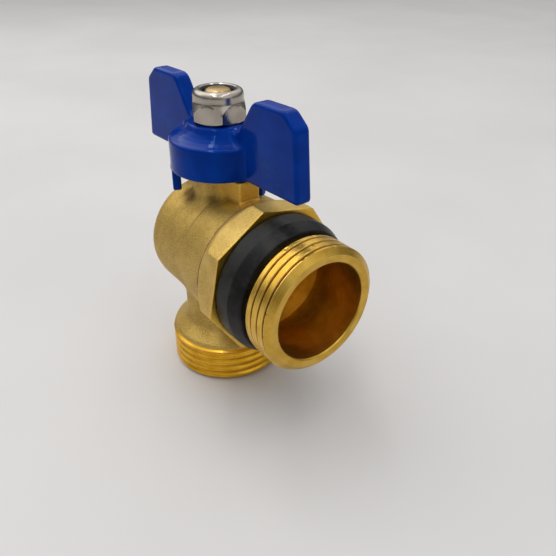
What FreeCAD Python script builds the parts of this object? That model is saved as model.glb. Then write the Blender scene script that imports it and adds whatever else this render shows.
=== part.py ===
"""Angle ball valve for a heating manifold, in millimetres.

The frame: +Z is the stem axis, the origin is the centre of the outlet's end face,
and the side port leaves along +X.  The handle is drawn in the open position, with
its wings in line with the side port but for a few degrees, as it was cast.
"""
import FreeCAD, Part
import math
import os
import re

import Sketcher

V = FreeCAD.Vector

# Driving dimensions: alias, value
SIZES = {
    # How far one feature of a solid runs into the next, or a cut past the face it opens
    "overlap": 1.0,
    "chamfer_inset": 0.1,
    # Both ports carry the same parallel pipe thread, drawn as a plain cylinder at its crest
    "port_height": 37.63,
    "thread_radius": 16.62,
    "thread_chamfer_length": 1.2,
    "thread_chamfer_depth": 1.6,
    "mouth_radius": 12.84,
    "flow_radius": 7.8,
    "funnel_length": 4.0,
    # Outlet branch of the body: the thread takes what the bell and the barrel leave
    "outlet_mouth_depth": 9.0,
    "shoulder_radius": 16.2,
    "waist_radius": 12.0,
    "bell_height": 9.83,
    # The bell's shoulder, waist and rounds, as shares of its height
    "shoulder_share": 0.1,
    "waist_share": 0.46,
    "shoulder_round_share": 0.18,
    "waist_round_share": 0.2,
    # Barrel of the body
    "rear_length": 14.0,
    "rear_radius": 16.8,
    "rear_round": 4.0,
    "crease_length": 4.4,
    "crease_step": 1.2,
    "crease_radius": 17.3,
    "collar_length": 16.05,
    "collar_radius": 17.96,
    "neck_blend_round": 2.0,
    "branch_blend_round": 1.4,
    # Hollow inside the body
    "cavity_radius": 13.2,
    "socket_radius": 15.05,
    "rear_wall": 1.8,
    # Neck, stop lug and packing chamber
    "neck_radius": 7.5,
    "lug_width": 6.0,
    "lug_reach": 13.3,
    "lug_gap": 0.3,
    "lug_round": 0.5,
    "washer_bore_radius": 6.3,
    "washer_seat_height": 15.67,
    "packing_floor_height": 19.37,
    "packing_radius": 6.0,
    # Side port connector
    "octagon_across_flats": 38.0,
    "octagon_front": 24.8,
    "octagon_turn": 11.3,
    "octagon_rear_radius": 18.1,
    "octagon_chamfer_length": 4.15,
    "stub_radius": 15.0,
    "port_thread_start": 34.65,
    "port_length": 43.11,
    "funnel_start": 20.0,
    "port_funnel_length": 6.0,
    "spigot_fit": 0.05,
    "spigot_gap": 0.5,
    # Manifold seal
    "seal_fit": 0.1,
    "seal_outer_radius": 18.4,
    "seal_ridge_radius": 18.2,
    "seal_ridge": 29.7,
    "seal_nose_radius": 16.9,
    "seal_nose": 33.3,
    "seal_edge_round": 0.5,
    # Ball and seats
    "ball_radius": 11.8,
    "slot_width": 5.2,
    "slot_floor": 8.9,
    "seat_outer_radius": 11.4,
    "seat_land": 6.6,
    "seat_stand": 1.9,
    "seat_gap": 0.04,
    "seat_fit": 0.05,
    "seat_relief": 0.2,
    # Stem
    "stem_radius": 4.5,
    "stem_fit": 0.05,
    "ring_bore_gap": 0.05,
    "tang_width": 5.0,
    "tang_length": 10.0,
    "tang_gap": 0.2,
    "stem_collar_radius": 6.2,
    "stem_collar_bottom": 11.97,
    "washer_thickness": 1.0,
    "ring_groove_height": 16.6,
    "ring_groove_width": 1.6,
    "ring_groove_radius": 3.4,
    "stem_ring_section": 1.08,
    "ring_clearance": 0.02,
    "stem_thread_radius": 4.0,
    "stem_flats": 6.4,
    "stem_top": 42.7,
    "stem_tip_radius": 3.3,
    "stem_tip_height": 1.3,
    "stem_tip_chamfer": 0.25,
    # Packing and its nut
    "packing_thickness": 1.5,
    "gland_fit": 0.05,
    "gland_sleeve_length": 3.0,
    "gland_hex_across_flats": 13.0,
    "gland_hex_height": 3.0,
    "gland_hex_chamfer": 0.5,
    # Handle
    "hub_skirt": 2.0,
    "hub_radius": 13.2,
    "hub_rim_height": 8.2,
    "hub_rim_round": 0.7,
    "hub_cove_radius": 9.2,
    "hub_cove_height": 9.2,
    "hub_cove_round": 5.0,
    "hub_height": 12.0,
    "hub_top_radius": 8.0,
    "hub_hollow_radius": 10.6,
    "hub_web": 5.5,
    "web_fit": 0.05,
    "wing_turn": 3.0,
    "wing_thickness": 4.6,
    "wing_tip_reach": 33.2,
    "wing_tip_rise": 0.7,
    "wing_shoulder_reach": 31.6,
    "wing_shoulder_height": 17.4,
    "wing_crown_reach": 27.6,
    "wing_crown_height": 20.7,
    "wing_inner_reach": 16.7,
    "wing_root_reach": 10.5,
    "wing_root_step": 0.5,
    "wing_corner_round": 2.0,
    "wing_tip_round": 1.6,
    "wing_inner_round": 3.0,
    "wing_edge_round": 1.2,
    "tab_inner_radius": 10.8,
    "tab_outer_radius": 13.1,
    "tab_width": 2.5,
    "tab_gap": 0.7,
    "tab_corner_round": 1.1,
    "stop_clearance": 0.3,
    # Self-locking nut on the stem
    "nut_across_flats": 13.0,
    "nut_hex_height": 4.8,
    "nut_height": 7.75,
    "nut_collar_radius": 6.2,
    "nut_base_chamfer": 0.6,
    "nut_lip_radius": 4.55,
    "nut_lip_height": 0.65,
    "nut_collar_round": 1.0,
    "insert_outer_radius": 5.2,
    "insert_height": 1.9,
    "nut_fit": 0.03,
}

# Heights and places that several pieces share, each worked out from the sizes
PORT_AXIS = "port_height"
OUTLET_THREAD_END = "(port_height - rear_radius - bell_height)"
PACKING_FLOOR = "(port_height + packing_floor_height)"
PACKING_TOP = "(port_height + packing_floor_height + 2 * packing_thickness)"
NECK_TOP = "(port_height + packing_floor_height + 2 * packing_thickness + gland_sleeve_length)"
HUB_BOTTOM = f"({NECK_TOP} - hub_skirt)"
LUG_TOP = f"({NECK_TOP} - hub_skirt - lug_gap)"
HUB_TOP = f"({NECK_TOP} - hub_skirt + hub_height)"
WEB_BOTTOM = f"({NECK_TOP} - hub_skirt + hub_height - hub_web)"
WASHER_TOP = "(port_height + washer_seat_height)"
WASHER_BOTTOM = "(port_height + washer_seat_height - washer_thickness)"
STEM_TOP = "(port_height + stem_top)"
SEAT_BACK = "(rear_length - rear_wall)"
SPIGOT_END = "(seat_land + seat_stand)"
SOCKET_START = "(seat_land + seat_stand - spigot_gap)"
STEM_BORE = "(stem_radius + stem_fit)"
OCTAGON_CORNER = "(octagon_across_flats / 2 / cos(22.5 deg))"
TAB_OFFSET = "(lug_width / 2 + stop_clearance + tab_width / 2)"
TAB_BOTTOM = f"(port_height + sqrt(crease_radius ^ 2 - {TAB_OFFSET} ^ 2) + tab_gap)"
TAB_ANGLE = (
    "(asin((lug_width / 2 + stop_clearance) / sqrt(tab_inner_radius ^ 2 + tab_width ^ 2 / 4))"
    " + atan(tab_width / 2 / tab_inner_radius))"
)
HANDLE_TRAVEL = "90 deg"

DOCUMENT = FreeCAD.newDocument("AngleBallValve")
SHEET = DOCUMENT.addObject("Spreadsheet::Sheet", "Sizes")
for row, (alias, size) in enumerate(SIZES.items(), start=1):
    SHEET.set(f"A{row}", alias)
    SHEET.set(f"B{row}", str(size))
    SHEET.setAlias(f"B{row}", alias)
DOCUMENT.recompute()


def tied(text):
    """The text with each size's name pointing at its cell in the sheet."""
    return re.sub(r"[a-z_]+", lambda word: f"Sizes.{word[0]}" if word[0] in SIZES else word[0], text)


def number(text):
    """The value that a text in the sizes' names has now."""
    result = SHEET.evalExpression(tied(text))
    return float(getattr(result, "Value", result))


def bind(thing, **properties):
    """Tie properties to texts in the sizes' names; a double underscore stands for a dot."""
    for name, text in properties.items():
        thing.setExpression(name.replace("__", "."), tied(text))


def new_body(name):
    """An empty body whose label is also the name of its file."""
    body = DOCUMENT.addObject("PartDesign::Body", name)
    body.Label = name
    return body


def new_sketch(body, name, role, along_x="0", along_y="0", along_normal="0"):
    """A sketch on one of the body's own planes, shifted along the plane's axes."""
    sketch = body.newObject("Sketcher::SketchObject", name)
    plane = next(item for item in body.Origin.OriginFeatures if item.Role == role)
    sketch.AttachmentSupport = (plane, "")
    sketch.MapMode = "FlatFace"
    bind(
        sketch,
        AttachmentOffset__Base__x=along_x,
        AttachmentOffset__Base__y=along_y,
        AttachmentOffset__Base__z=along_normal,
    )
    return sketch


def lock(sketch, axis, geometry, point, text):
    """Fix one coordinate of a point by a text in the sizes' names, or to the axis for a 0."""
    if text == "0":
        sketch.addConstraint(Sketcher.Constraint("PointOnObject", geometry, point, -2 if axis == "X" else -1))
        return
    constraint = Sketcher.Constraint("Distance" + axis, -1, 1, geometry, point, number(text))
    index = sketch.addConstraint(constraint)
    sketch.setExpression(f"Constraints[{index}]", tied(text))


def rounded_ends(before, corner, after, radius):
    """Where an arc of this radius leaves and joins the two sides of a corner, and its middle."""
    inward = (before - corner).normalize()
    outward = (after - corner).normalize()
    half = inward.getAngle(outward) / 2
    reach = radius / math.tan(half)
    bisector = (inward + outward).normalize()
    middle = corner + bisector * (radius / math.sin(half) - radius)
    return corner + inward * reach, corner + outward * reach, middle


def outline(sketch, corners):
    """Draw a closed outline. A corner is two texts, and a third one rounds it by that radius."""
    points = [V(number(corner[0]), number(corner[1]), 0) for corner in corners]
    count = len(corners)
    starts, ends, middles = [], [], []
    for index, corner in enumerate(corners):
        if len(corner) == 3:
            neighbours = points[index - 1], points[index], points[(index + 1) % count]
            start, end, middle = rounded_ends(*neighbours, number(corner[2]))
        else:
            start = end = points[index]
            middle = None
        starts.append(start)
        ends.append(end)
        middles.append(middle)
    lines = [
        sketch.addGeometry(Part.LineSegment(ends[index], starts[(index + 1) % count]), False)
        for index in range(count)
    ]
    for index, corner in enumerate(corners):
        before, after = lines[index - 1], lines[index]
        if middles[index] is None:
            sketch.addConstraint(Sketcher.Constraint("Coincident", before, 2, after, 1))
            lock(sketch, "X", after, 1, corner[0])
            lock(sketch, "Y", after, 1, corner[1])
            continue
        arc = sketch.addGeometry(Part.Arc(starts[index], middles[index], ends[index]), False)
        mark = sketch.addGeometry(Part.Point(points[index]), True)
        lock(sketch, "X", mark, 1, corner[0])
        lock(sketch, "Y", mark, 1, corner[1])
        sketch.addConstraint(Sketcher.Constraint("PointOnObject", mark, 1, before))
        sketch.addConstraint(Sketcher.Constraint("PointOnObject", mark, 1, after))
        join_arc(sketch, arc, before, 2, starts[index])
        join_arc(sketch, arc, after, 1, ends[index])
        index_of_radius = sketch.addConstraint(Sketcher.Constraint("Radius", arc, number(corner[2])))
        sketch.setExpression(f"Constraints[{index_of_radius}]", tied(corner[2]))


def join_arc(sketch, arc, line, line_point, place):
    """Make a line run smoothly into whichever end of the arc lies at this place."""
    arc_point = 1 if sketch.getPoint(arc, 1).distanceToPoint(place) < 1e-6 else 2
    sketch.addConstraint(Sketcher.Constraint("Tangent", line, line_point, arc, arc_point))


def turned(body, name, corners, axis="V_Axis", cut=False, height="0"):
    """Turn an outline round the stem axis (V_Axis) or, lifted to its height, the port axis (H_Axis)."""
    sketch = new_sketch(body, name + "_outline", "XZ_Plane", along_y=height)
    outline(sketch, corners)
    kind = "PartDesign::Groove" if cut else "PartDesign::Revolution"
    feature = body.newObject(kind, name)
    feature.Profile = sketch
    feature.ReferenceAxis = (sketch, [axis])
    feature.Angle = 360
    sketch.Visibility = False
    return feature


def about_port(body, name, corners, cut=False):
    """Turn an outline of (distance along the port, radius) corners round the port's axis."""
    return turned(body, name, corners, axis="H_Axis", cut=cut, height=PORT_AXIS)


def pad(body, name, sketch, length, both_ways=False):
    """Push a sketch out to a length, from its plane or equally to both sides of it."""
    feature = body.newObject("PartDesign::Pad", name)
    feature.Profile = sketch
    if both_ways:
        feature.Midplane = True
    bind(feature, Length=length)
    return feature


def pocket(body, name, sketch, length, both_ways=False, reverse=False):
    """Cut a sketch to a depth; reverse turns the cut to the sketch plane's other side."""
    feature = body.newObject("PartDesign::Pocket", name)
    feature.Profile = sketch
    feature.Midplane = both_ways
    feature.Reversed = reverse
    bind(feature, Length=length)
    return feature


def box_outline(x_from, x_to, y_from, y_to):
    """The corners of a rectangle."""
    return [(x_from, y_from), (x_to, y_from), (x_to, y_to), (x_from, y_to)]


def polygon(sides, across_flats, first_corner="0"):
    """The corners of a regular polygon by its width across flats, the first at a given angle."""
    corner_radius = f"({across_flats} / 2 / cos(180 deg / {sides}))"
    turns = [f"(360 deg * {index} / {sides} + {first_corner} * 1 deg)" for index in range(sides)]
    return [(f"{corner_radius} * cos({turn})", f"{corner_radius} * sin({turn})") for turn in turns]


def edges_where(feature, test):
    """The names of a feature's edges that pass a test."""
    DOCUMENT.recompute()
    return [f"Edge{index}" for index, edge in enumerate(feature.Shape.Edges, start=1) if test(edge)]


def rounded(body, name, base, edges, radius):
    """Round some edges of the body's latest feature."""
    feature = body.newObject("PartDesign::Fillet", name)
    feature.Base = (base, edges)
    bind(feature, Radius=radius)
    return feature


def on_cylinder(edge, radius):
    """Whether every point of an edge lies at this distance from the stem's axis."""
    points = edge.discretize(9)
    return all(abs(math.hypot(point.x, point.y) - radius) < 0.01 for point in points)


def meeting_edges(feature, radius):
    """The curved edges where a cylinder about the stem's axis meets the barrel."""
    distance = number(radius)

    def meets(edge):
        return not edge.Curve.TypeId.endswith("Circle") and not is_upright(edge) and on_cylinder(edge, distance)

    return edges_where(feature, meets)


def valve_body():
    """The hot-forged body: barrel, outlet branch, neck and stop lug, then its bores."""
    body = new_body("valve_body")
    about_port(body, "barrel", [
        ("-rear_length", "0"),
        ("-rear_length", "rear_radius", "rear_round"),
        ("crease_length", "rear_radius"),
        ("crease_length + crease_step", "crease_radius"),
        ("collar_length", "collar_radius"),
        ("collar_length", "0"),
    ])
    neck = turned(body, "neck", [
        ("0", "port_height + neck_radius"),
        ("neck_radius", "port_height + neck_radius"),
        ("neck_radius", NECK_TOP),
        ("0", NECK_TOP),
    ])
    rounded(body, "neck_blend", neck, meeting_edges(neck, "neck_radius"), "neck_blend_round")
    shoulder = f"{OUTLET_THREAD_END} + shoulder_share * bell_height"
    waist = f"{OUTLET_THREAD_END} + waist_share * bell_height"
    branch = turned(body, "outlet_branch", [
        ("0", "0"),
        ("thread_radius - thread_chamfer_depth", "0"),
        ("thread_radius", "thread_chamfer_length"),
        ("thread_radius", OUTLET_THREAD_END),
        ("shoulder_radius", OUTLET_THREAD_END),
        ("shoulder_radius", shoulder, "shoulder_round_share * bell_height"),
        ("waist_radius", waist, "waist_round_share * bell_height"),
        ("waist_radius", "port_height - neck_radius"),
        ("0", "port_height - neck_radius"),
    ])
    branch_edges = meeting_edges(branch, "waist_radius")
    rounded(body, "branch_blend", branch, branch_edges, "branch_blend_round")
    lug_sketch = new_sketch(body, "lug_outline", "XZ_Plane")
    lug_foot = "port_height + cavity_radius + overlap"
    outline(lug_sketch, box_outline("neck_radius / 2", "lug_reach", lug_foot, LUG_TOP))
    lug = pad(body, "stop_lug", lug_sketch, "lug_width", both_ways=True)
    reach = number("lug_reach")
    corners = edges_where(lug, lambda edge: is_upright(edge) and abs(edge.CenterOfMass.x - reach) < 0.01)
    rounded(body, "lug_corners", lug, corners, "lug_round")
    about_port(body, "cavity", [
        (f"-{SEAT_BACK}", "0"),
        (f"-{SEAT_BACK}", "seat_outer_radius + seat_fit"),
        (f"-{SPIGOT_END}", "seat_outer_radius + seat_fit"),
        (f"-{SPIGOT_END}", "cavity_radius"),
        (SOCKET_START, "cavity_radius"),
        (SOCKET_START, "socket_radius"),
        ("collar_length", "socket_radius"),
        ("collar_length", "0"),
    ], cut=True)
    turned(body, "outlet_bore", [
        ("0", "0"),
        ("mouth_radius", "0"),
        ("mouth_radius", "outlet_mouth_depth"),
        ("flow_radius", "outlet_mouth_depth + funnel_length"),
        ("flow_radius", PORT_AXIS),
        ("0", PORT_AXIS),
    ], cut=True)
    turned(body, "stem_bores", [
        ("0", PORT_AXIS),
        ("washer_bore_radius", PORT_AXIS),
        ("washer_bore_radius", WASHER_TOP),
        (STEM_BORE, WASHER_TOP),
        (STEM_BORE, PACKING_FLOOR),
        ("packing_radius", PACKING_FLOOR),
        ("packing_radius", NECK_TOP),
        ("0", NECK_TOP),
    ], cut=True)
    return body


def is_upright(edge):
    """Whether an edge is a straight line along the stem's axis."""
    if edge.Curve.TypeId != "Part::GeomLine":
        return False
    ends = edge.Vertexes[0].Point, edge.Vertexes[-1].Point
    return math.hypot(ends[1].x - ends[0].x, ends[1].y - ends[0].y) < 0.01


def end_connector():
    """The screwed-in side port: spigot, octagonal flange, relief stub and threaded end."""
    body = new_body("end_connector")
    about_port(body, "spigot", [
        (SPIGOT_END, "0"),
        (SPIGOT_END, "socket_radius - spigot_fit"),
        ("collar_length + overlap", "socket_radius - spigot_fit"),
        ("collar_length + overlap", "0"),
    ])
    about_port(body, "port_stub", [
        ("collar_length", "0"),
        ("collar_length", "stub_radius"),
        ("port_thread_start", "stub_radius"),
        ("port_thread_start", "thread_radius"),
        ("port_length - thread_chamfer_length", "thread_radius"),
        ("port_length", "thread_radius - thread_chamfer_depth"),
        ("port_length", "0"),
    ])
    flange = new_sketch(body, "octagon_outline", "YZ_Plane", along_y=PORT_AXIS, along_normal="collar_length")
    outline(flange, polygon(8, "octagon_across_flats", "octagon_turn"))
    pad(body, "octagon", flange, "octagon_front - collar_length")
    about_port(body, "octagon_rear_chamfer", [
        ("collar_length", "octagon_rear_radius"),
        ("collar_length + octagon_chamfer_length", OCTAGON_CORNER),
        ("collar_length + octagon_chamfer_length", f"{OCTAGON_CORNER} + overlap"),
        ("collar_length", f"{OCTAGON_CORNER} + overlap"),
    ], cut=True)
    about_port(body, "flow_bore", [
        (SPIGOT_END, "0"),
        (SPIGOT_END, "seat_outer_radius + seat_fit"),
        (SEAT_BACK, "seat_outer_radius + seat_fit"),
        (SEAT_BACK, "flow_radius"),
        ("funnel_start", "flow_radius"),
        ("funnel_start + port_funnel_length", "mouth_radius"),
        ("port_length", "mouth_radius"),
        ("port_length", "0"),
    ], cut=True)
    return body


def manifold_seal():
    """The soft profile ring that seals the connector in its manifold."""
    body = new_body("manifold_seal")
    about_port(body, "ring", [
        ("octagon_front", "stub_radius + seal_fit"),
        ("octagon_front", "seal_outer_radius", "seal_edge_round"),
        ("seal_ridge", "seal_ridge_radius", "seal_edge_round"),
        ("seal_nose", "seal_nose_radius", "seal_edge_round"),
        ("seal_nose", "stub_radius + seal_fit"),
    ])
    return body


def ball():
    """The ball with its right-angled passage and the slot that the stem's tang drives."""
    body = new_body("ball")
    sphere = body.newObject("PartDesign::AdditiveSphere", "sphere")
    bind(sphere, Radius="ball_radius", Placement__Base__z=PORT_AXIS)
    about_port(body, "side_passage", [
        ("0", "0"),
        ("0", "flow_radius"),
        ("ball_radius + overlap", "flow_radius"),
        ("ball_radius + overlap", "0"),
    ], cut=True)
    turned(body, "down_passage", [
        ("0", "port_height - ball_radius - overlap"),
        ("flow_radius", "port_height - ball_radius - overlap"),
        ("flow_radius", PORT_AXIS),
        ("0", PORT_AXIS),
    ], cut=True)
    elbow = body.newObject("PartDesign::SubtractiveSphere", "elbow")
    bind(elbow, Radius="flow_radius", Placement__Base__z=PORT_AXIS)
    slot = new_sketch(body, "slot_outline", "XZ_Plane", along_y=PORT_AXIS)
    outline(slot, box_outline("-slot_width / 2", "slot_width / 2", "slot_floor", "ball_radius + overlap"))
    pocket(body, "slot", slot, "2 * (ball_radius + overlap)", both_ways=True)
    return body


def seat_ring(name, side):
    """A seat ring: a short sleeve whose inner corner is hollowed to the ball."""
    body = new_body(name)
    touch = "(ball_radius + seat_gap)"
    about_port(body, "sleeve", [
        (f"{side}seat_land", "flow_radius + seat_relief"),
        (f"{side}{SEAT_BACK}", "flow_radius + seat_relief"),
        (f"{side}{SEAT_BACK}", "seat_outer_radius"),
        (f"{side}seat_land", "seat_outer_radius"),
    ])
    hollow = body.newObject("PartDesign::SubtractiveSphere", "ball_face")
    bind(hollow, Radius=touch, Placement__Base__z=PORT_AXIS)
    return body


def stem():
    """The stem: tang, collar, shaft with its ring groove, drive flats, threaded end and tip."""
    body = new_body("stem")
    groove = "(port_height + ring_groove_height)"
    collar_bottom = "(port_height + stem_collar_bottom)"
    turned(body, "turned_form", [
        ("0", collar_bottom),
        ("stem_collar_radius", collar_bottom),
        ("stem_collar_radius", WASHER_BOTTOM),
        ("stem_radius", WASHER_BOTTOM),
        ("stem_radius", groove),
        ("ring_groove_radius", groove),
        ("ring_groove_radius", f"{groove} + ring_groove_width"),
        ("stem_radius", f"{groove} + ring_groove_width"),
        ("stem_radius", WEB_BOTTOM),
        ("stem_thread_radius", WEB_BOTTOM),
        ("stem_thread_radius", f"{STEM_TOP} - stem_tip_height"),
        ("stem_tip_radius", f"{STEM_TOP} - stem_tip_height + stem_thread_radius - stem_tip_radius"),
        ("stem_tip_radius", f"{STEM_TOP} - stem_tip_chamfer"),
        ("stem_tip_radius - stem_tip_chamfer", STEM_TOP),
        ("0", STEM_TOP),
    ])
    tang = new_sketch(body, "tang_outline", "XY_Plane", along_normal="port_height + slot_floor + tang_gap")
    outline(tang, box_outline("-tang_width / 2", "tang_width / 2", "-tang_length / 2", "tang_length / 2"))
    pad(body, "tang", tang, "stem_collar_bottom - slot_floor - tang_gap")
    flats = new_sketch(body, "flats_outline", "XY_Plane", along_normal=WEB_BOTTOM)
    clear = "(stem_thread_radius + overlap)"
    for side in ("", "-"):
        outline(flats, box_outline(f"{side}stem_flats / 2", f"{side}{clear}", f"-{clear}", clear))
    pocket(body, "drive_flats", flats, f"{HUB_TOP} - {WEB_BOTTOM}", reverse=True)
    return body


def washer(name, inner, outer, bottom, thickness):
    """A flat ring about the stem."""
    body = new_body(name)
    turned(body, "ring", [
        (inner, bottom),
        (outer, bottom),
        (outer, f"{bottom} + {thickness}"),
        (inner, f"{bottom} + {thickness}"),
    ])
    return body


def stem_o_ring():
    """The round-section ring that lies in the stem's groove."""
    ring = DOCUMENT.addObject("Part::Torus", "stem_o_ring")
    bind(
        ring,
        Radius1="ring_groove_radius + ring_clearance + stem_ring_section / 2",
        Radius2="stem_ring_section / 2",
        Placement__Base__z="port_height + ring_groove_height + ring_groove_width / 2",
    )
    return ring


def packing_nut():
    """The gland nut that squeezes the packing: threaded sleeve below, low hexagon above."""
    body = new_body("packing_nut")
    inner = f"({STEM_BORE} + ring_bore_gap)"
    top = f"({NECK_TOP} + gland_hex_height)"
    turned(body, "sleeve", [
        (inner, PACKING_TOP),
        ("packing_radius - gland_fit", PACKING_TOP),
        ("packing_radius - gland_fit", NECK_TOP),
        (inner, NECK_TOP),
    ])
    hexagon = new_sketch(body, "hexagon_outline", "XY_Plane", along_normal=NECK_TOP)
    outline(hexagon, polygon(6, "gland_hex_across_flats"))
    pad(body, "hexagon", hexagon, "gland_hex_height")
    corner_chamfer(body, "gland_hex_across_flats", top, "-1", "gland_hex_chamfer")
    turned(body, "bore", [
        ("0", f"{NECK_TOP} - overlap"),
        (inner, f"{NECK_TOP} - overlap"),
        (inner, f"{top} + overlap"),
        ("0", f"{top} + overlap"),
    ], cut=True)
    return body


def corner_chamfer(body, across_flats, height, side, depth):
    """Turn off a hexagon's corners at one end: side is -1 under a top face, 1 above a bottom one."""
    corner = f"({across_flats} / 2 / cos(30 deg) + chamfer_inset)"
    turned(body, f"chamfer{side.replace('-', '_')}", [
        (f"{across_flats} / 2 - chamfer_inset", height),
        (corner, height),
        (corner, f"{height} + {side} * {depth}"),
    ], cut=True)


def double_d(sketch, radius, across_flats):
    """A round outline with two flats, centred on the stem's axis."""
    arc_radius, half = number(radius), number(across_flats) / 2
    rise = math.sqrt(arc_radius ** 2 - half ** 2)
    corners = [V(half, -rise, 0), V(half, rise, 0), V(-half, rise, 0), V(-half, -rise, 0)]
    right = sketch.addGeometry(Part.LineSegment(corners[0], corners[1]), False)
    upper = sketch.addGeometry(Part.Arc(corners[1], V(0, arc_radius, 0), corners[2]), False)
    left = sketch.addGeometry(Part.LineSegment(corners[2], corners[3]), False)
    lower = sketch.addGeometry(Part.Arc(corners[3], V(0, -arc_radius, 0), corners[0]), False)
    sketch.addConstraint(Sketcher.Constraint("Coincident", right, 2, upper, 1))
    sketch.addConstraint(Sketcher.Constraint("Coincident", upper, 2, left, 1))
    sketch.addConstraint(Sketcher.Constraint("Coincident", left, 2, lower, 1))
    sketch.addConstraint(Sketcher.Constraint("Coincident", lower, 2, right, 1))
    for line, side in ((right, ""), (left, "-")):
        sketch.addConstraint(Sketcher.Constraint("Vertical", line))
        lock(sketch, "X", line, 1, f"{side}1 * {across_flats} / 2")
    for arc in (upper, lower):
        sketch.addConstraint(Sketcher.Constraint("Coincident", arc, 3, -1, 1))
        index = sketch.addConstraint(Sketcher.Constraint("Radius", arc, arc_radius))
        sketch.setExpression(f"Constraints[{index}]", tied(radius))


def stop_tab(body, name, angle):
    """A tab that hangs from the hub's skirt at an angle from the side port."""
    sketch = new_sketch(
        body,
        name + "_outline",
        "YZ_Plane",
        along_x=f"tab_inner_radius * sin({angle})",
        along_normal=f"tab_inner_radius * cos({angle})",
    )
    sketch.AttachmentOffset = FreeCAD.Placement(V(0, 0, 0), FreeCAD.Rotation(V(0, 1, 0), 1))
    bind(sketch, AttachmentOffset__Rotation__Angle=angle)
    outline(sketch, [
        ("-tab_width / 2", TAB_BOTTOM, "tab_corner_round"),
        ("tab_width / 2", TAB_BOTTOM, "tab_corner_round"),
        ("tab_width / 2", f"{HUB_BOTTOM} + overlap"),
        ("-tab_width / 2", f"{HUB_BOTTOM} + overlap"),
    ])
    pad(body, name, sketch, "tab_outer_radius - tab_inner_radius")


def wing_corners(side):
    """One wing's outline from its tip up and in to its root; side is 1 or -1."""
    return [
        (f"{side} * wing_tip_reach", "wing_tip_rise", "wing_tip_round"),
        (f"{side} * wing_shoulder_reach", "wing_shoulder_height", "wing_corner_round"),
        (f"{side} * wing_crown_reach", "wing_crown_height", "wing_corner_round"),
        (f"{side} * wing_inner_reach", "wing_crown_height", "wing_inner_round"),
        (f"{side} * wing_root_reach", "hub_height - wing_root_step", "wing_corner_round"),
    ]


def handle():
    """The butterfly handle: hollow hub with a flared top, two wings and two stop tabs."""
    body = new_body("handle")
    sketch = new_sketch(body, "wing_outline", "XZ_Plane", along_y=HUB_BOTTOM)
    sketch.AttachmentOffset = FreeCAD.Placement(V(0, 0, 0), FreeCAD.Rotation(V(0, 1, 0), 1))
    bind(sketch, AttachmentOffset__Rotation__Angle="wing_turn")
    outline(sketch, [("0", "0")] + wing_corners("1") + wing_corners("-1")[::-1])
    wings = pad(body, "wings", sketch, "wing_thickness", both_ways=True)
    half = number("wing_thickness") / 2
    turn = math.radians(number("wing_turn"))

    def is_rim(edge):
        across = [point.y * math.cos(turn) - point.x * math.sin(turn) for point in edge.discretize(5)]
        return all(abs(abs(distance) - half) < 0.01 for distance in across)

    rounded(body, "wing_rims", wings, edges_where(wings, is_rim), "wing_edge_round")
    turned(body, "hub", [
        ("0", HUB_BOTTOM),
        ("hub_radius", HUB_BOTTOM),
        ("hub_radius", f"{HUB_BOTTOM} + hub_rim_height", "hub_rim_round"),
        ("hub_cove_radius", f"{HUB_BOTTOM} + hub_cove_height", "hub_cove_round"),
        ("hub_top_radius", HUB_TOP),
        ("0", HUB_TOP),
    ])
    stop_tab(body, "tab_at_open_stop", TAB_ANGLE)
    stop_tab(body, "tab_at_closed_stop", f"(-{TAB_ANGLE} - {HANDLE_TRAVEL})")
    turned(body, "hollow", [
        ("0", HUB_BOTTOM),
        ("hub_hollow_radius", HUB_BOTTOM),
        ("hub_hollow_radius", WEB_BOTTOM),
        ("0", WEB_BOTTOM),
    ], cut=True)
    hole = new_sketch(body, "drive_hole_outline", "XY_Plane", along_normal=WEB_BOTTOM)
    double_d(hole, "(stem_thread_radius + web_fit)", "(stem_flats + 2 * web_fit)")
    pocket(body, "drive_hole", hole, "hub_web", reverse=True)
    return body


def lock_nut():
    """The self-locking nut: hexagon, round collar and a lip that holds its insert."""
    body = new_body("lock_nut")
    collar_top = f"({HUB_TOP} + nut_height)"
    hexagon = new_sketch(body, "hexagon_outline", "XY_Plane", along_normal=HUB_TOP)
    outline(hexagon, polygon(6, "nut_across_flats", "30"))
    pad(body, "hexagon", hexagon, "nut_hex_height")
    corner_chamfer(body, "nut_across_flats", HUB_TOP, "1", "nut_base_chamfer")
    corner_chamfer(body, "nut_across_flats", f"({HUB_TOP} + nut_hex_height)", "-1", "nut_base_chamfer")
    turned(body, "collar", [
        ("0", f"{HUB_TOP} + nut_hex_height - overlap"),
        ("nut_collar_radius", f"{HUB_TOP} + nut_hex_height - overlap"),
        ("nut_collar_radius", collar_top, "nut_collar_round"),
        ("0", collar_top),
    ])
    turned(body, "bore", [
        ("0", HUB_TOP),
        ("stem_thread_radius + nut_fit", HUB_TOP),
        ("stem_thread_radius + nut_fit", f"{collar_top} - nut_lip_height - insert_height"),
        ("insert_outer_radius + nut_fit", f"{collar_top} - nut_lip_height - insert_height"),
        ("insert_outer_radius + nut_fit", f"{collar_top} - nut_lip_height"),
        ("nut_lip_radius", f"{collar_top} - nut_lip_height"),
        ("nut_lip_radius", collar_top),
        ("0", collar_top),
    ], cut=True)
    return body


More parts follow.
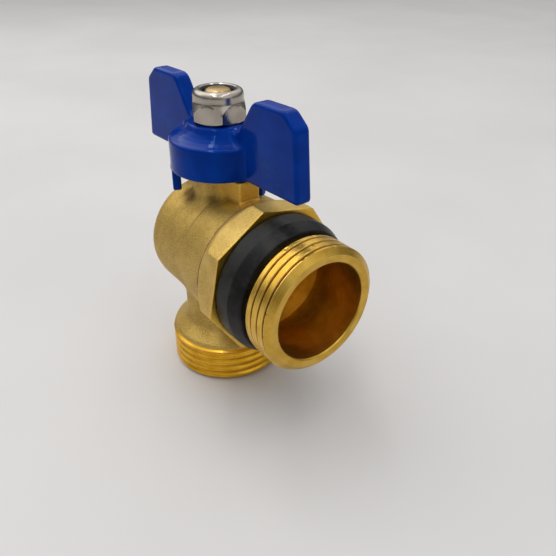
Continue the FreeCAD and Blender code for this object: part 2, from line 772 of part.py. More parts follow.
PIECES = [
    valve_body(),
    end_connector(),
    manifold_seal(),
    ball(),
    seat_ring("seat_ring_front", ""),
    seat_ring("seat_ring_rear", "-"),
    stem(),
    washer("thrust_washer", f"{STEM_BORE} + ring_bore_gap", "stem_collar_radius", WASHER_BOTTOM, "washer_thickness"),
    stem_o_ring(),
    washer("packing_ring_lower", STEM_BORE, "packing_radius - gland_fit", PACKING_FLOOR, "packing_thickness"),
    washer(
        "packing_ring_upper",
        STEM_BORE,
        "packing_radius - gland_fit",
        f"({PACKING_FLOOR} + packing_thickness)",
        "packing_thickness",
    ),
    packing_nut(),
    handle(),
    lock_nut(),
    washer(
        "lock_nut_insert",
        "stem_thread_radius + nut_fit",
        "insert_outer_radius",
        f"({HUB_TOP} + nut_height - nut_lip_height - insert_height)",
        "insert_height",
    ),
]

DOCUMENT.recompute()
faulty = [item.Name for item in DOCUMENT.Objects if {"Invalid", "Error"} & set(item.State)]
if faulty:
    raise RuntimeError(f"failed features: {faulty}")
for piece in PIECES:
    if piece.Shape.isNull() or not piece.Shape.isValid():
        raise RuntimeError(f"{piece.Label} has no sound shape")

os.makedirs("parts", exist_ok=True)
for piece in PIECES:
    piece.Shape.exportStep(f"parts/{piece.Label}.step")
    print(f"{piece.Label}: {len(piece.Shape.Solids)} solid, {piece.Shape.Volume:.0f} cubic mm")
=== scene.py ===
# %% [markdown]
# # An angle ball valve, dressed round its CAD frame
#
# The valve stands on its threaded outlet. A second threaded port leaves to the side through
# an octagonal flange and a black rubber seal, and a blue butterfly handle turns the ball.
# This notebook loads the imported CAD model, gives the threads, the casting and the handle
# shapes finer than the CAD needs, and paints every surface with nodes.

import math

import bmesh
import bpy
import numpy as np
from mathutils import Matrix, Vector


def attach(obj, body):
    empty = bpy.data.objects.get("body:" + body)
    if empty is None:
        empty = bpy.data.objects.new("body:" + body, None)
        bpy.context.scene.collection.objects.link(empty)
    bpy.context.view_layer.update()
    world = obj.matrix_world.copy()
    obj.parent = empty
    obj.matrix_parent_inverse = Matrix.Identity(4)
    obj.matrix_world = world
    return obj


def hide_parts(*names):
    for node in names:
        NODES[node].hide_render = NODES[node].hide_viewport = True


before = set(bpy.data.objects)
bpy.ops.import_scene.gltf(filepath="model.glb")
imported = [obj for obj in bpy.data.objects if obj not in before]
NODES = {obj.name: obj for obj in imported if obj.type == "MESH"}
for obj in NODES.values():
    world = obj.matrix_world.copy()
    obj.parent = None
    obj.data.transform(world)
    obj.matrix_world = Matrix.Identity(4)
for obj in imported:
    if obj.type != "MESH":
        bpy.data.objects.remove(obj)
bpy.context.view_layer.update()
MM = 0.001

# %% [markdown]
# ## Where the camera stands
#
# A picture can be compared with a photograph only if both are taken from one place. That
# place could be found by trial, but here it was worked out from circles and edges of the
# valve: how far round the camera stands, how far up, a hair of roll, and the spot it looks
# at. Three unit vectors make its turn: right, up and back towards the eye.

# %% Camera
AZIMUTH, ELEVATION, ROLL = (math.radians(angle) for angle in (52.855, 31.993, 0.574))
ASIDE, ABOVE, AWAY = 15.605 * MM, 21.672 * MM, 186.327 * MM
FOCAL_PIXELS, FRAME_PIXELS, SENSOR = 580.0, 556.0, 36.0

back = Vector((
    math.sin(AZIMUTH) * math.cos(ELEVATION),
    -math.cos(AZIMUTH) * math.cos(ELEVATION),
    math.sin(ELEVATION),
))
level = Vector((math.cos(AZIMUTH), math.sin(AZIMUTH), 0))
upright = back.cross(level)
right = level * math.cos(ROLL) + upright * math.sin(ROLL)
up = upright * math.cos(ROLL) - level * math.sin(ROLL)

camera_data = bpy.data.cameras.new("camera")
camera_data.sensor_width = SENSOR
camera_data.lens = FOCAL_PIXELS / FRAME_PIXELS * SENSOR
camera_data.clip_start = 0.01
camera = bpy.data.objects.new("camera", camera_data)
bpy.context.scene.collection.objects.link(camera)
turn = Matrix((right, up, back)).transposed().to_4x4()
camera.matrix_world = Matrix.Translation(right * ASIDE + up * ABOVE + back * AWAY) @ turn
bpy.context.scene.camera = camera
stands = [round(place / MM, 1) for place in camera.location]
print("camera at", stands, "mm, lens", round(camera_data.lens, 1))

# %% [markdown]
# ## Meshes from whole arrays
#
# A part can be pushed into shape by hand or worked out from numbers. Here every new piece
# is a grid of points: rows run along a profile and columns run round an axis, so one
# changed number changes the whole part. One helper numbers the grid's four-sided faces,
# with either way closed on itself. One stores a number at each point, for the materials to
# read. The last puts points and faces into a mesh, in millimetres on the way in.

# %% Grid faces and pieces
def grid_faces(rows, columns, close_rows=False, close_columns=True):
    """Corner numbers of a grid's faces: point (i, j) has the number i * columns + j."""
    i, j = np.meshgrid(
        np.arange(rows if close_rows else rows - 1),
        np.arange(columns if close_columns else columns - 1),
        indexing="ij",
    )
    below, beside = (i + 1) % rows, (j + 1) % columns
    corners = (i * columns + j, i * columns + beside, below * columns + beside, below * columns + j)
    return np.stack([corner.ravel() for corner in corners], axis=1)


def store(mesh, name, values):
    """Keep one number at each point of a mesh, under a name that a material can read."""
    values = np.asarray(values, np.float32).ravel()
    mesh.attributes.new(name, "FLOAT", "POINT").data.foreach_set("value", values)


def note_bends(mesh):
    """Store how sharply the surface bends at each point, per millimetre: along an edge from
    one end to the other it is the change of the normal, along the edge, over its length.
    It is positive on outer edges, where wear shows, and negative in hollows, where painted shade and dirt
    go."""
    count = len(mesh.vertices)
    places, normals = np.empty(count * 3, np.float32), np.empty(count * 3, np.float32)
    ends = np.empty(len(mesh.edges) * 2, np.int32)
    mesh.vertices.foreach_get("co", places)
    mesh.vertex_normals.foreach_get("vector", normals)
    mesh.edges.foreach_get("vertices", ends)
    places, normals, ends = places.reshape(-1, 3) / MM, normals.reshape(-1, 3), ends.reshape(-1, 2)
    step = places[ends[:, 1]] - places[ends[:, 0]]
    turn = normals[ends[:, 1]] - normals[ends[:, 0]]
    bend = (step * turn).sum(1) / np.maximum((step ** 2).sum(1), 1e-4)
    total, touches = np.zeros(count), np.zeros(count)
    for side in (0, 1):
        np.add.at(total, ends[:, side], bend)
        np.add.at(touches, ends[:, side], 1)
    store(mesh, "bend", np.clip(total / np.maximum(touches, 1), -5, 5))


def make_piece(name, points, faces, finish, body, slot, crease=35, soil=None):
    """A mesh object from points in millimetres, smooth but for creases over some degrees;
    the last argument, from 0 to 1 at each point, says how much darker its tone is made there."""
    mesh = bpy.data.meshes.new(name)
    mesh.vertices.add(len(points))
    mesh.vertices.foreach_set("co", (np.asarray(points) * MM).astype(np.float32).ravel())
    mesh.loops.add(faces.size)
    mesh.loops.foreach_set("vertex_index", faces.astype(np.int32).ravel())
    mesh.polygons.add(len(faces))
    mesh.polygons.foreach_set("loop_start", np.arange(len(faces), dtype=np.int32) * faces.shape[1])
    mesh.update(calc_edges=True)
    mesh.validate()
    mesh.shade_smooth()
    note_bends(mesh)
    if soil is not None:
        store(mesh, "soil", soil)
    mesh.set_sharp_from_angle(angle=math.radians(crease))
    mesh.materials.append(finish)
    piece = bpy.data.objects.new(name, mesh)
    bpy.context.scene.collection.objects.link(piece)
    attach(piece, body)
    print(f"{name}: {len(mesh.vertices)} points, {len(mesh.polygons)} faces")
    return piece


# %% [markdown]
# A turned part is a profile carried round an axis, as a lathe makes it. The profile could
# keep its sharp corners and get a bevel later, but here each corner is cut back a little on
# both sides and bridged by a curve, (1-t) squared of the start, 2t(1-t) of the corner and
# t squared of the end, so that every corner can have a size of its own.

# %% Profiles
PORT_HEIGHT = 37.63
HUB_BOTTOM, HUB_TOP = 61.0, 73.0


def rounded_profile(corners, cuts, steps=5):
    """A closed profile whose corners are cut back by some length and bridged by a parabola."""
    corners = np.asarray(corners, float)
    cuts = np.broadcast_to(np.asarray(cuts, float), len(corners))[:, None]
    before, after = np.roll(corners, 1, 0) - corners, np.roll(corners, -1, 0) - corners
    before /= np.linalg.norm(before, axis=1, keepdims=True)
    after /= np.linalg.norm(after, axis=1, keepdims=True)
    start, end = corners + before * cuts, corners + after * cuts
    t = np.linspace(0, 1, steps)[None, :, None]
    curve = (1 - t) ** 2 * start[:, None] + 2 * t * (1 - t) * corners[:, None] + t ** 2 * end[:, None]
    return curve.reshape(-1, 2)


def round_port(along, radius, angles):
    """Points about the side port's axis: (x, r cos a, height + r sin a)."""
    return np.stack(np.broadcast_arrays(
        along, radius * np.cos(angles), PORT_HEIGHT + radius * np.sin(angles)), axis=-1).reshape(-1, 3)


def round_stem(height, radius, angles):
    """Points about the stem's axis: (r cos a, r sin a, z)."""
    return np.stack(np.broadcast_arrays(
        radius * np.cos(angles), radius * np.sin(angles), height), axis=-1).reshape(-1, 3)


def rows_of(pairs, columns):
    """Rows of a grid from pairs of a place along the axis and a radius; each of the two is
    one number all round, or an array with one number for each column."""
    return [np.stack([np.broadcast_to(pair[k], columns) for pair in pairs]).astype(float) for k in (0, 1)]


def stacked(groups):
    """Groups of rows one below the other: all places along the axis, and all radii."""
    return [np.concatenate([group[k] for group in groups]) for k in (0, 1)]


def turned_piece(name, about, along, radius, angles, *looks, **more):
    """A piece turned about an axis, whose rows of points close on themselves."""
    faces = grid_faces(len(along), len(angles), close_rows=True)
    return make_piece(name, about(along, radius, angles), faces, *looks, **more)


print("port axis", PORT_HEIGHT, "mm up; hub from", HUB_BOTTOM, "to", HUB_TOP)

# %% [markdown]
# ## Finishes
#
# A finish is a material with one Principled shader. It could be painted on a picture, but a
# picture needs seams and blurs up close, so each finish is worked out from nodes at every
# point. Short helpers add a node, stretch a value, and lay one colour over another.

# %% Helpers for nodes
def new_finish(name, **sockets):
    """A material with one Principled shader; words set its sockets, with _ for a space."""
    finish = bpy.data.materials.new(name)
    finish.use_nodes = True
    shader = finish.node_tree.nodes["Principled BSDF"]
    for socket, value in sockets.items():
        shader.inputs[socket.replace("_", " ")].default_value = value
    return finish, finish.node_tree, shader


def add_node(tree, kind, inputs=None, **settings):
    """A node of a kind, its settings, and inputs that are values or other nodes' outputs."""
    node = tree.nodes.new(kind)
    for setting, value in settings.items():
        setattr(node, setting, value)
    for socket, value in (inputs or {}).items():
        if isinstance(value, bpy.types.NodeSocket):
            tree.links.new(value, node.inputs[socket])
        else:
            node.inputs[socket].default_value = value
    return node


def noise(tree, where, scale, detail=2.0, roughness=0.5):
    """Soft noise from 0 to 1."""
    inputs = {"Vector": where, "Scale": scale, "Detail": detail, "Roughness": roughness}
    return add_node(tree, "ShaderNodeTexNoise", inputs).outputs["Fac"]


def remap(tree, value, low, high, to_low=0.0, to_high=1.0):
    """Stretch a range of a value smoothly to another."""
    inputs = {"Value": value, "From Min": low, "From Max": high, "To Min": to_low, "To Max": to_high}
    return add_node(tree, "ShaderNodeMapRange", inputs, interpolation_type="SMOOTHSTEP").outputs["Result"]


def blend_colours(tree, mask, first, second):
    """Mix two colours, or sockets with colours, by a mask."""
    node = add_node(tree, "ShaderNodeMix", data_type="RGBA", blend_type="MIX", clamp_factor=True)
    for index, value in ((0, mask), (6, first), (7, second)):
        if isinstance(value, bpy.types.NodeSocket):
            tree.links.new(value, node.inputs[index])
        else:
            node.inputs[index].default_value = value if index == 0 else (*value, 1)
    return node.outputs[2]


def arithmetic(tree, operation, *values):
    """One sum, product or other step on numbers."""
    return add_node(tree, "ShaderNodeMath", dict(enumerate(values)), operation=operation).outputs[0]


def lay_over(tree, tone, colour, mask, share=1.0):
    """Lay a colour over a tone where a mask says, at its strongest by some share."""
    if share != 1.0:
        mask = arithmetic(tree, "MULTIPLY", mask, share)
    return blend_colours(tree, mask, tone, colour)


def feed(tree, shader, tone, roughness):
    """Give the shader its colour and its roughness."""
    tree.links.new(tone, shader.inputs["Base Color"])
    tree.links.new(roughness, shader.inputs["Roughness"])


def bumped(tree, height, strength, distance, shader):
    """Let a height tilt the shader's normal."""
    inputs = {"Height": height, "Strength": strength, "Distance": distance}
    tree.links.new(add_node(tree, "ShaderNodeBump", inputs).outputs["Normal"], shader.inputs["Normal"])


def object_place(tree, centre=(0, 0, 0), turn=(0, 0, 0)):
    """Object coordinates in metres, measured from a centre and turned."""
    where = add_node(tree, "ShaderNodeTexCoord").outputs["Object"]
    inputs = {"Vector": where, "Location": centre, "Rotation": turn}
    return add_node(tree, "ShaderNodeMapping", inputs, vector_type="TEXTURE").outputs["Vector"]


def bends(tree, low, high):
    """A mask from the stored bend of the surface, 0 at the low value and 1 at the high one."""
    bend = add_node(tree, "ShaderNodeAttribute", attribute_name="bend").outputs["Fac"]
    return remap(tree, bend, low, high)


def hollows(tree, low, high):
    """A mask that is 1 in hollows that bend inwards by the high value or more."""
    bend = add_node(tree, "ShaderNodeAttribute", attribute_name="bend").outputs["Fac"]
    return remap(tree, arithmetic(tree, "MULTIPLY", bend, -1.0), low, high)


def new_group(name, inputs, outputs):
    """An empty node group with named number or vector sockets."""
    group = bpy.data.node_groups.new(name, "ShaderNodeTree")
    for way, sockets in (("INPUT", inputs), ("OUTPUT", outputs)):
        for socket, kind in sockets.items():
            group.interface.new_socket(socket, in_out=way, socket_type="NodeSocket" + kind)
    return group, group.nodes.new("NodeGroupInput").outputs, group.nodes.new("NodeGroupOutput").inputs


def use_group(tree, group, **inputs):
    """Place a group in a material with its own values."""
    return add_node(tree, "ShaderNodeGroup", inputs, node_tree=group).outputs


# %% [markdown]
# Two effects come back in several finishes, so each is a node group built once and placed
# with its own values. The grain group, for blasted metal and rubber, mixes two sizes of
# speckle into one height and gives a broad, cloudy mask for tone. The lathe group measures
# how far a point lies along an axis and how far from it, and draws uneven fine rings.

# %% Grain and lathe rings
GRAIN, grain_in, grain_out = new_group(
    "fine_grain", {"Vector": "Vector", "Size": "Float"}, {"Height": "Float", "Cloud": "Float"})
fine = noise(GRAIN, grain_in["Vector"], grain_in["Size"], detail=3.0, roughness=0.6)
pits = add_node(GRAIN, "ShaderNodeTexVoronoi", {"Vector": grain_in["Vector"], "Scale": grain_in["Size"]})
both = arithmetic(GRAIN, "ADD", fine, arithmetic(GRAIN, "MULTIPLY", pits.outputs["Distance"], 0.6))
GRAIN.links.new(both, grain_out["Height"])
GRAIN.links.new(noise(GRAIN, grain_in["Vector"], 160.0, detail=4.0), grain_out["Cloud"])

LATHE, lathe_in, lathe_out = new_group(
    "lathe_rings", {"Vector": "Vector", "Rings": "Float"}, {"Height": "Float", "Streak": "Float"})
parts = add_node(LATHE, "ShaderNodeSeparateXYZ", {"Vector": lathe_in["Vector"]}).outputs
across = add_node(LATHE, "ShaderNodeCombineXYZ", {"X": parts["Y"], "Y": parts["Z"]}).outputs["Vector"]
radius = add_node(LATHE, "ShaderNodeVectorMath", {0: across}, operation="LENGTH").outputs["Value"]
ring_place = add_node(LATHE, "ShaderNodeCombineXYZ", {"X": parts["X"], "Y": radius}).outputs["Vector"]
rings = noise(LATHE, ring_place, lathe_in["Rings"], detail=2.0, roughness=0.7)
LATHE.links.new(rings, lathe_out["Height"])
LATHE.links.new(noise(LATHE, lathe_in["Vector"], 260.0, detail=3.0), lathe_out["Streak"])
print("node groups:", [group.name for group in bpy.data.node_groups])

# %% [markdown]
# ### Brass, three ways
#
# One metal looks quite different by how it was worked. The casting is blasted: matte and
# sandy, paler on edges that hands have rubbed, and dark in its creases and at the foot of the
# neck, where painted shade and dirt are laid on together. Where these dark spots sit can't
# be told from the shape alone, so they are given as a few soft balls, each a place and a
# reach in millimetres.

# %% Soft spots
PORT_AXIS_PLACE = {"centre": (0, 0, PORT_HEIGHT * MM)}
STEM_AXIS_PLACE = {"turn": (0, math.radians(-90), 0)}
SHADE_AND_DIRT_SPOTS = (
    (-3.3, -7.6, 52.6, 2.7),
    (-5.7, -7.0, 52.9, 2.2),
    (4.9, -5.2, 53.7, 2.6),
    (-6.2, 3.5, 54.0, 2.4),
)
STOP_LUG = (10.2, -1.2, 56.4)


def near_spot(tree, where, spot, inner, outer):
    """A soft ball of a mask: 1 within the inner distance of a spot, 0 past the outer one, in mm."""
    away = add_node(
        tree, "ShaderNodeVectorMath", {0: where, 1: [side * MM for side in spot]}, operation="DISTANCE")
    return remap(tree, away.outputs["Value"], inner * MM, outer * MM, 1.0, 0.0)


def neck_shade_and_dirt(tree, where):
    """A mask with soft spots of painted shade and dirt at the foot of the neck."""
    mask = 0.0
    for *spot, reach in SHADE_AND_DIRT_SPOTS:
        mask = arithmetic(tree, "MAXIMUM", mask, near_spot(tree, where, spot, reach * 0.25, reach * 1.35))
    return mask


print("dirty spots:", len(SHADE_AND_DIRT_SPOTS))

# %% [markdown]
# Blasting leaves a skin of tiny pits. A bump gives the skin, and its high grains are also
# made paler, because they catch the light. The lug's sides were machined after casting, so
# a soft spot there is yellower.

# %% Blasted brass
def blasted_brass(name, dark, light):
    """Matte cast brass: sandy bump, cloudy tone, rubbed edges, and painted shade with dirt in the creases
    and round the neck.
    """
    finish, tree, shader = new_finish(name, Metallic=1.0)
    where = object_place(tree)
    grain = use_group(tree, GRAIN, Vector=where, Size=2700.0)
    tone = blend_colours(tree, remap(tree, grain["Cloud"], 0.35, 0.68), dark, light)
    tone = lay_over(tree, tone, (0.92, 0.70, 0.27), remap(tree, grain["Height"], 0.5, 1.0), 0.32)
    tone = lay_over(tree, tone, (0.90, 0.66, 0.24), bends(tree, 0.35, 1.2), 0.6)
    tone = lay_over(tree, tone, (0.80, 0.50, 0.09), near_spot(tree, where, STOP_LUG, 4.6, 7.0), 0.8)
    patches = remap(tree, noise(tree, where, 330.0, detail=4.0, roughness=0.6), 0.10, 0.50)
    # painted shade and dirt: the creases and the spots round the neck are darkened to dark brown
    crease_shade_and_dirt = arithmetic(tree, "MULTIPLY", hollows(tree, 0.10, 0.5), 0.3)
    shade_and_dirt = arithmetic(tree, "MAXIMUM", crease_shade_and_dirt, neck_shade_and_dirt(tree, where))
    patchy_shade_and_dirt = arithmetic(tree, "MULTIPLY", shade_and_dirt, patches)
    tone = lay_over(tree, tone, (0.13, 0.066, 0.014), patchy_shade_and_dirt, 0.86)
    feed(tree, shader, tone, remap(tree, grain["Cloud"], 0.3, 0.7, 0.60, 0.50))
    bumped(tree, grain["Height"], 0.6, 0.00015, shader)
    return finish


FORGED = blasted_brass("blasted_body", (0.39, 0.245, 0.045), (0.50, 0.325, 0.068))
FORGED_FLATS = blasted_brass("blasted_flats", (0.52, 0.345, 0.082), (0.65, 0.445, 0.125))
print("blasted:", FORGED.name, FORGED_FLATS.name)

# %% [markdown]
# Threads, chamfers and bores are cut on a lathe, so they are bright yellow with fine rings,
# which must run about the part's own axis: the place helper turns the pattern on to it. The
# tone is made darker by a number that the mesh stores at each point, mostly in the grooves.
# The stem is the same metal, seen at its end.

# %% Turned brass
def turned_brass(name, place, dark, light, rough):
    """Machined brass: rings about an axis, uneven tone, darker in the grooves."""
    finish, tree, shader = new_finish(name, Metallic=1.0)
    where = object_place(tree, **place)
    lathe = use_group(tree, LATHE, Vector=where, Rings=9000.0)
    tone = blend_colours(tree, remap(tree, lathe["Streak"], 0.35, 0.65), dark, light)
    tone = lay_over(tree, tone, (0.95, 0.72, 0.30), bends(tree, 0.8, 3.0), 0.5)
    oil = add_node(tree, "ShaderNodeAttribute", attribute_name="soil").outputs["Fac"]
    tone = lay_over(tree, tone, (0.26, 0.15, 0.045), oil)
    feed(tree, shader, tone, remap(tree, lathe["Height"], 0.3, 0.7, rough - 0.05, rough + 0.08))
    bumped(tree, lathe["Height"], 0.12, 0.00008, shader)
    return finish


PORT_BRASS = turned_brass(
    "port_brass", PORT_AXIS_PLACE, (0.65, 0.385, 0.048), (0.78, 0.50, 0.085), 0.31)
OUTLET_BRASS = turned_brass(
    "outlet_brass", STEM_AXIS_PLACE, (0.80, 0.42, 0.022), (0.92, 0.53, 0.045), 0.28)
STEM_BRASS = turned_brass(
    "stem_brass", STEM_AXIS_PLACE, (0.34, 0.225, 0.085), (0.47, 0.32, 0.145), 0.34)
print("turned:", PORT_BRASS.name, OUTLET_BRASS.name, STEM_BRASS.name)

# %% [markdown]
# ### Blue coating
#
# The handle is a zinc casting under thick blue paint. A plain grey gloss would wash the
# blue out, so the gloss itself is tinted and weak. The paint has a faint orange-peel, and
# a few soft spots on the wings carry fine dull scuffs.

# %% Blue coating
SCUFFS = (
    (20.0, -1.3, 70.0),
    (24.0, -1.1, 66.0),
    (-23.0, -3.4, 66.5),
    (27.0, 3.7, 72.0),
    (-20.0, 1.2, 75.0),
)


def blue_coating():
    """Glossy blue paint with a slight orange-peel and dull, scuffed patches."""
    finish, tree, shader = new_finish(
        "blue_coating", Specular_IOR_Level=0.15, Specular_Tint=(0.2, 0.5, 1.0, 1))
    where = object_place(tree)
    cloud = remap(tree, noise(tree, where, 120.0, detail=4.0), 0.35, 0.7)
    tone = blend_colours(tree, cloud, (0.0003, 0.022, 0.21), (0.0006, 0.033, 0.28))
    scratches = remap(tree, noise(tree, where, 1300.0, detail=6.0, roughness=0.7), 0.50, 0.62)
    for spot in SCUFFS:
        scuff = arithmetic(tree, "MULTIPLY", near_spot(tree, where, spot, 1.0, 5.5), scratches)
        tone = lay_over(tree, tone, (0.012, 0.055, 0.17), scuff, 0.6)
    rub = noise(tree, where, 420.0, detail=5.0, roughness=0.65)
    feed(tree, shader, tone, remap(tree, rub, 0.35, 0.75, 0.05, 0.15))
    bumped(tree, noise(tree, where, 900.0, detail=1.0), 0.08, 0.0002, shader)
    return finish


BLUE = blue_coating()
print("scuffs on the coating:", len(SCUFFS))

# %% [markdown]
# ### Nickel
#
# The nut is nickel plated: a warm grey mirror, a little cloudy, with painted shade in its hollows. A
# perfect mirror would only show the room, so a fine grain breaks the reflections up.

# %% Nickel
def plated_nickel():
    """Nickel plate over a cold-formed nut: warm grey, a fine grain."""
    finish, tree, shader = new_finish("plated_nickel", Metallic=1.0)
    where = object_place(tree)
    grain = use_group(tree, GRAIN, Vector=where, Size=1800.0)
    cloud = remap(tree, grain["Cloud"], 0.35, 0.65)
    tone = blend_colours(tree, cloud, (0.34, 0.30, 0.255), (0.46, 0.42, 0.365))
    # painted shade: the nut's hollows are darkened
    tone = lay_over(tree, tone, (0.10, 0.08, 0.06), hollows(tree, 0.3, 1.5), 0.7)
    feed(tree, shader, tone, remap(tree, grain["Cloud"], 0.3, 0.7, 0.14, 0.26))
    bumped(tree, grain["Height"], 0.12, 0.00006, shader)
    return finish


NICKEL = plated_nickel()
print("plated:", NICKEL.name)

# %% [markdown]
# ### Rubber
#
# The seal is satin black rubber. Pure black would look like a hole, so a dusty bloom drifts
# over it, and its shoulder next to the flange is a little paler, a painted sheen. The
# shoulder is told from the ridge by how far a point lies along the port's axis.

# %% Rubber
SHOULDER_PALE, SHOULDER_DARK = 29.3 * MM, 30.0 * MM


def satin_rubber():
    """Black moulded rubber with a dusty bloom, a painted sheen on the shoulder and a fine skin."""
    finish, tree, shader = new_finish("satin_rubber", Specular_IOR_Level=0.16)
    where = object_place(tree)
    grain = use_group(tree, GRAIN, Vector=where, Size=2600.0)
    bloom = remap(tree, noise(tree, where, 210.0, detail=5.0, roughness=0.6), 0.42, 0.72)
    tone = blend_colours(tree, bloom, (0.006, 0.006, 0.006), (0.026, 0.025, 0.023))
    along = add_node(tree, "ShaderNodeSeparateXYZ", {"Vector": where}).outputs["X"]
    # painted sheen: the shoulder next to the flange is made paler
    painted_sheen = remap(tree, along, SHOULDER_PALE, SHOULDER_DARK, 0.24, 0.0)
    tone = lay_over(tree, tone, (0.040, 0.042, 0.040), painted_sheen)
    feed(tree, shader, tone, remap(tree, bloom, 0.0, 1.0, 0.36, 0.52))
    bumped(tree, grain["Height"], 0.10, 0.00008, shader)
    return finish


RUBBER = satin_rubber()
print("moulded:", RUBBER.name)

# %% [markdown]
# ### The hidden parts
#
# The ball is polished chrome and its seats are white PTFE; both show only through the
# ports. The nut's insert is dark nylon and the sealant is hard and brown. None of them
# needs a story of its own, so one plain recipe takes each part's own colours and gloss.

# %% Smooth mouldings
def plain_moulding(name, dark, light, rough, metallic=0.0):
    """A smooth part with a little cloud in its tone and gloss."""
    finish, tree, shader = new_finish(name, Metallic=metallic)
    grain = use_group(tree, GRAIN, Vector=object_place(tree), Size=1500.0)
    cloud = remap(tree, grain["Cloud"], 0.35, 0.65)
    tone = blend_colours(tree, cloud, dark, light)
    feed(tree, shader, tone, remap(tree, cloud, 0.0, 1.0, rough, rough + 0.1))
    bumped(tree, grain["Height"], 0.08, 0.00005, shader)
    return finish


CHROME = plain_moulding("ball_chrome", (0.60, 0.60, 0.61), (0.72, 0.72, 0.73), 0.08, 1.0)
PTFE = plain_moulding("seat_ptfe", (0.68, 0.68, 0.66), (0.80, 0.80, 0.78), 0.42)
NYLON = plain_moulding("insert_nylon", (0.010, 0.011, 0.014), (0.022, 0.022, 0.026), 0.38)
SEALANT = plain_moulding("thread_sealant", (0.09, 0.032, 0.005), (0.24, 0.09, 0.016), 0.35)
print("finishes in all:", len(bpy.data.materials))

# %% [markdown]
# ## Shapes with soft joints
#
# The casting and the handle are lumps that melt into each other. Such a shape is easiest
# as a field: a formula that says how far a point is outside the surface, negative inside.
# Two fields join with a fillet when their lesser value is lowered by k/4 times the square
# of how far the two are within k of each other. The surface is then the field's zero level.

# %% Fields
def section_distance(a, b, corners):
    """Distance from points (a, b) to a closed outline: nearest point on each side, and the
    sign from how often a line to the right crosses the outline."""
    nearest, inside = np.full(a.shape, np.inf), np.zeros(a.shape, bool)
    for (a0, b0), (a1, b1) in zip(corners, np.roll(corners, -1, 0)):
        da, db = a1 - a0, b1 - b0
        if da * da + db * db < 1e-12:
            continue
        t = np.clip(((a - a0) * da + (b - b0) * db) / (da * da + db * db), 0, 1)
        nearest = np.minimum(nearest, (a - a0 - t * da) ** 2 + (b - b0 - t * db) ** 2)
        if db != 0:
            crossing = ((b0 > b) != (b1 > b)) & (a < a0 + (b - b0) * da / db)
            inside ^= crossing
    return np.where(inside, -1, 1) * np.sqrt(nearest)


def soft_join(first, second, reach):
    """The lesser of two fields, melted together where they are within the reach."""
    near = np.maximum(reach - np.abs(first - second), 0) / reach
    return np.minimum(first, second) - near ** 2 * reach / 4


def soft_cut(field, tool, reach):
    """The field less the tool, with the new edge rounded."""
    return -soft_join(-field, tool, reach)


def slab(outline_distance, depth, half, edge):
    """An outline carried both ways to half a thickness, its edges rounded."""
    a, b = outline_distance + edge, np.abs(depth) - half + edge
    return np.minimum(np.maximum(a, b), 0) + np.hypot(np.maximum(a, 0), np.maximum(b, 0)) - edge


def rounded_block(place, centre, half, edge):
    """A box with rounded edges: outside, the length of how far a point is past each pair of
    faces, drawn in by the edge; inside, the largest of the three."""
    past = [np.abs(p - c) - h + edge for p, c, h in zip(place, centre, half)]
    outside = np.sqrt(sum(np.maximum(p, 0) ** 2 for p in past))
    return np.minimum(np.maximum.reduce(past), 0) + outside - edge


def rod(from_axis, along, radius, start=-np.inf, end=np.inf):
    """A round rod, or a hole: the largest of how far a point is outside the radius, past
    the end and before the start."""
    return np.maximum(from_axis - radius, np.maximum(along - end, start - along))


print("where two surfaces cross, a soft join with reach 2 fills", -soft_join(0.0, 0.0, 2.0), "mm")

# %% [markdown]
# A field has no faces yet. To get them it is worked out on a lattice, which suits any
# shape, however its lumps join. A cell whose corners don't all agree gets one point, and
# each lattice edge that the surface crosses gets one face between its four cells. The
# points then slide down the field's slope on to the surface itself.

# %% From a field to a mesh
def level_surface(field, low, high, pitch, settle=6):
    """Points and four-sided faces on the field's zero level, all from whole arrays."""
    axes = [np.arange(low[k], high[k] + pitch, pitch) for k in range(3)]
    inside = field(*np.meshgrid(*axes, indexing="ij")) < 0
    count = sum(
        inside[i:inside.shape[0] - 1 + i, j:inside.shape[1] - 1 + j, k:inside.shape[2] - 1 + k].astype(int)
        for i in (0, 1) for j in (0, 1) for k in (0, 1)
    )
    cells = (count > 0) & (count < 8)
    number = np.full(cells.shape, -1)
    number[cells] = np.arange(cells.sum())
    points = np.argwhere(cells) * pitch + np.asarray(low) + pitch / 2
    faces = []
    for axis in range(3):
        u, v = np.eye(3, dtype=int)[[(axis + 1) % 3, (axis + 2) % 3]]
        last = inside.shape[axis] - 1
        here, there = (np.take(inside, range(start, last + start), axis) for start in (0, 1))
        at = np.argwhere(here != there)
        ring = np.stack([number[tuple((at - shift).T)] for shift in (u + v, v, 0 * u, u)], axis=1)
        leaving = here[tuple(at.T)]
        faces.append(np.where(leaving[:, None], ring, ring[:, ::-1]))
    step = np.eye(3) * pitch * 0.05
    for _ in range(settle):
        value = field(*points.T)
        slope = np.stack([field(*(points + s).T) - field(*(points - s).T) for s in step], 1) / (0.1 * pitch)
        move = value[:, None] * slope / np.maximum((slope ** 2).sum(1, keepdims=True), 0.25)
        points = points - np.clip(move, -pitch / 2, pitch / 2)
    return points, np.concatenate(faces)


ball_points, ball_faces = level_surface(
    lambda x, y, z: np.sqrt(x ** 2 + y ** 2 + z ** 2) - 2, (-3, -3, -3), (3, 3, 3), 0.5)
ball_radii = np.linalg.norm(ball_points, axis=1)
print("a trial ball of 2 mm:", len(ball_faces), "faces, radii", ball_radii.min(), "to", ball_radii.max())

# %% [markdown]
# ## The blue handle
#
# A hollow hub with a flared top, two flat wings and two stop tabs that hang from its
# skirt, all one die casting with soft inner corners. Separate boxes and cylinders would
# meet in hard lines, so it is a field: the hub is a profile turned round the stem, each
# wing is an outline with a thickness, and soft joins make the fillets.

# %% Handle
WING_HALF, WING_EDGE, WING_TURN = 2.3, 0.9, math.radians(3.0)
TAB_ANGLES = (24.27, -114.27)
TAB_INNER, TAB_OUTER, TAB_HALF, TAB_BOTTOM = 10.8, 13.1, 1.25, 55.02
TAB_FOOT, TAB_EDGE = 0.9, 0.5
HOLLOW_RADIUS, WEB_BOTTOM = 10.6, 67.5
DRIVE_RADIUS, DRIVE_HALF = 4.05, 3.25

